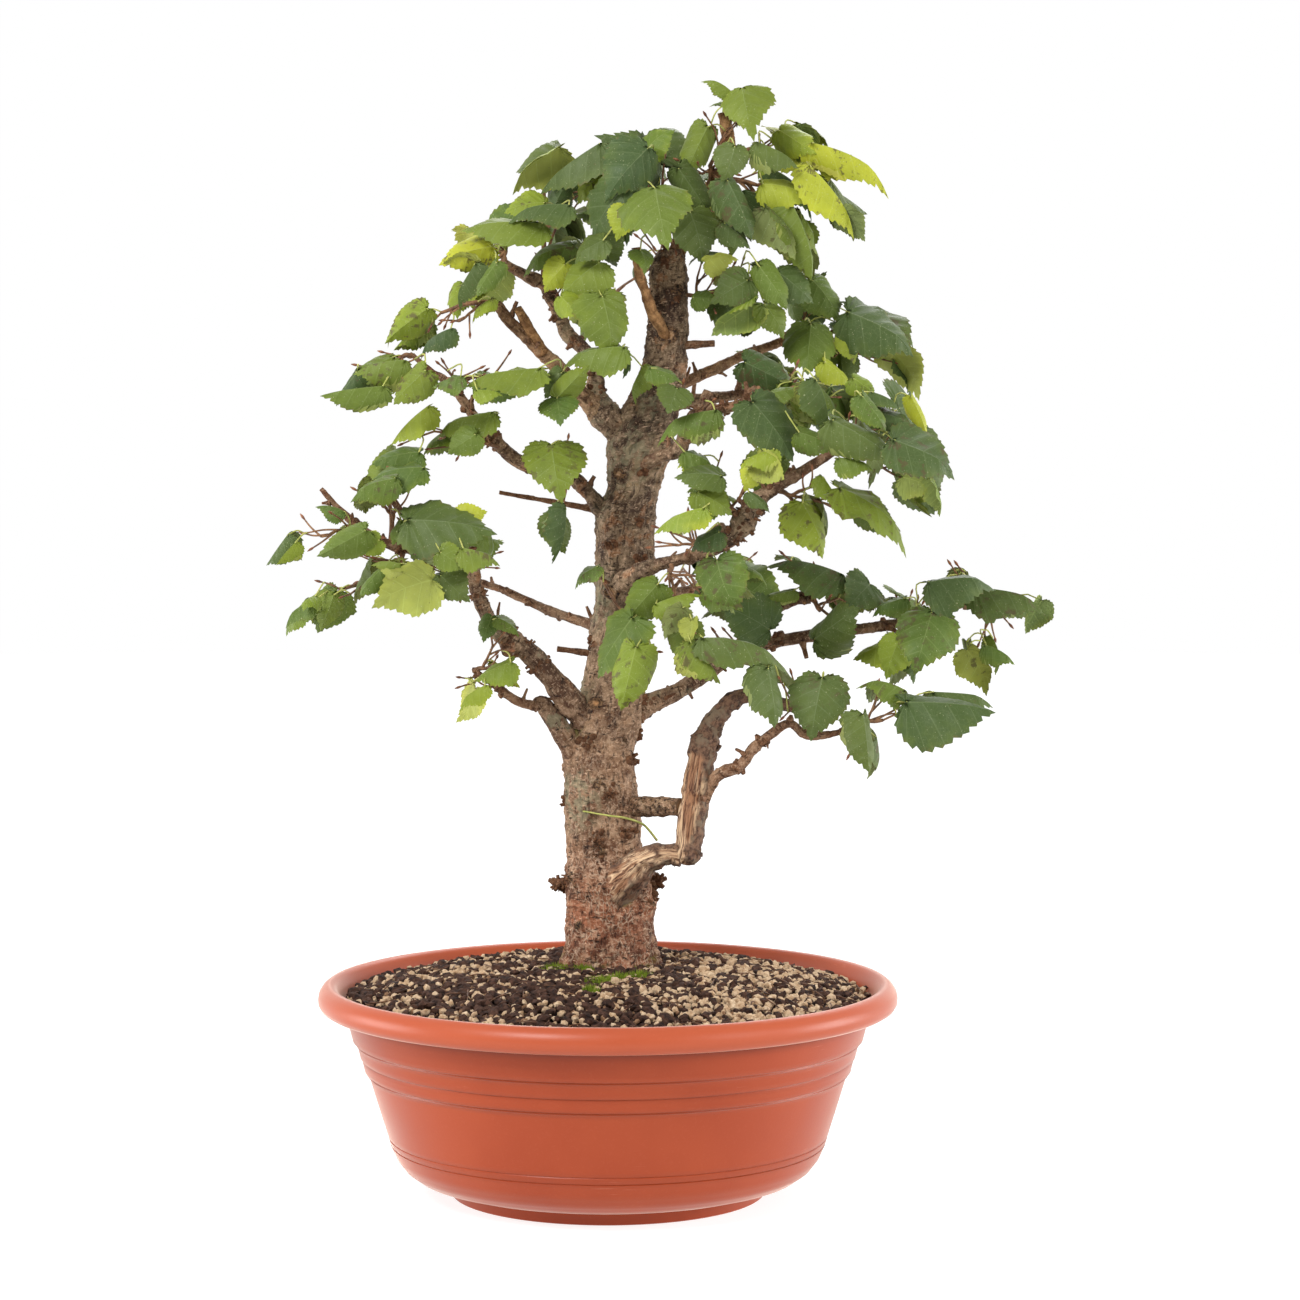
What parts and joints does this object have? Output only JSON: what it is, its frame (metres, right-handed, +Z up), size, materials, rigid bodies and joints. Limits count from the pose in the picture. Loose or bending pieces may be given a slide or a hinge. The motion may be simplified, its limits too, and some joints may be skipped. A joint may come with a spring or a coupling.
{
  "type": "linden bonsai in a round bowl",
  "caption": "Small trained linden tree with heart-shaped leaves, a dead side limb and a plain round bowl filled with gritty soil, made to stand on a bench.",
  "frame": {"origin": "middle of the bowl's flat underside", "axes": "+Z up, -Y towards the tree's front, +X towards the dead limb"},
  "size_m": [0.5473, 0.4444, 0.7701],
  "materials": {
    "bowl": "semi-matte terracotta-coloured plastic",
    "soil": "dark bark and peat with pale pumice grit",
    "bark": "living bark with cross-wise marks, knots and lichen",
    "deadwood": "stripped and weathered dry wood, bark on one side",
    "foliage": "matt leaves, darker above and paler below"
  },
  "bodies": {
    "root": {"bowl": "bowl", "soil": "soil", "trunk": "bark", "bough_lowest_left": "bark", "bough_low_left": "bark", "bough_far_left": "bark", "bough_thin_left": "bark", "bough_middle_left": "bark", "bough_fork_left": "bark", "bough_crown_left": "bark", "bough_leader_front": "bark", "bough_top": "bark", "bough_upper_right": "bark", "bough_short_right": "bark", "bough_middle_right": "bark", "bough_low_right": "bark", "bough_low_right_fork": "bark", "bough_back_low": "bark", "bough_back_right": "bark", "deadwood_arm": "deadwood", "deadwood_upright": "deadwood", "bough_low_thin": "bark", "leaves_top": "foliage", "leaves_top_right": "foliage", "leaves_top_right_low": "foliage", "leaves_crown": "foliage", "leaves_upper_left": "foliage", "leaves_left_shoulder": "foliage", "leaves_left_inner": "foliage", "leaves_fork": "foliage", "leaves_left_high": "foliage", "leaves_left_point": "foliage", "leaves_left_upper": "foliage", "leaves_left_middle": "foliage", "leaves_left_hanging": "foliage", "leaves_left_outer": "foliage", "leaves_far_left_top": "foliage", "leaves_far_left": "foliage", "leaves_low_left": "foliage", "leaves_back_left": "foliage", "leaves_stub_left": "foliage", "leaves_trunk_front": "foliage", "leaves_middle_low": "foliage", "leaves_middle": "foliage", "leaves_middle_high": "foliage", "leaves_neck": "foliage", "leaves_leader_right": "foliage", "leaves_upper_right": "foliage", "leaves_right_inner": "foliage", "leaves_right": "foliage", "leaves_right_under": "foliage", "leaves_low_right_inner": "foliage", "leaves_low_right_fork": "foliage", "leaves_low_right": "foliage", "leaves_low_right_tip": "foliage", "leaves_base_right": "foliage", "leaves_base_right_low": "foliage", "leaves_back_low": "foliage", "leaves_back_right": "foliage", "leaves_back_top": "foliage"}
  },
  "joints": []
}
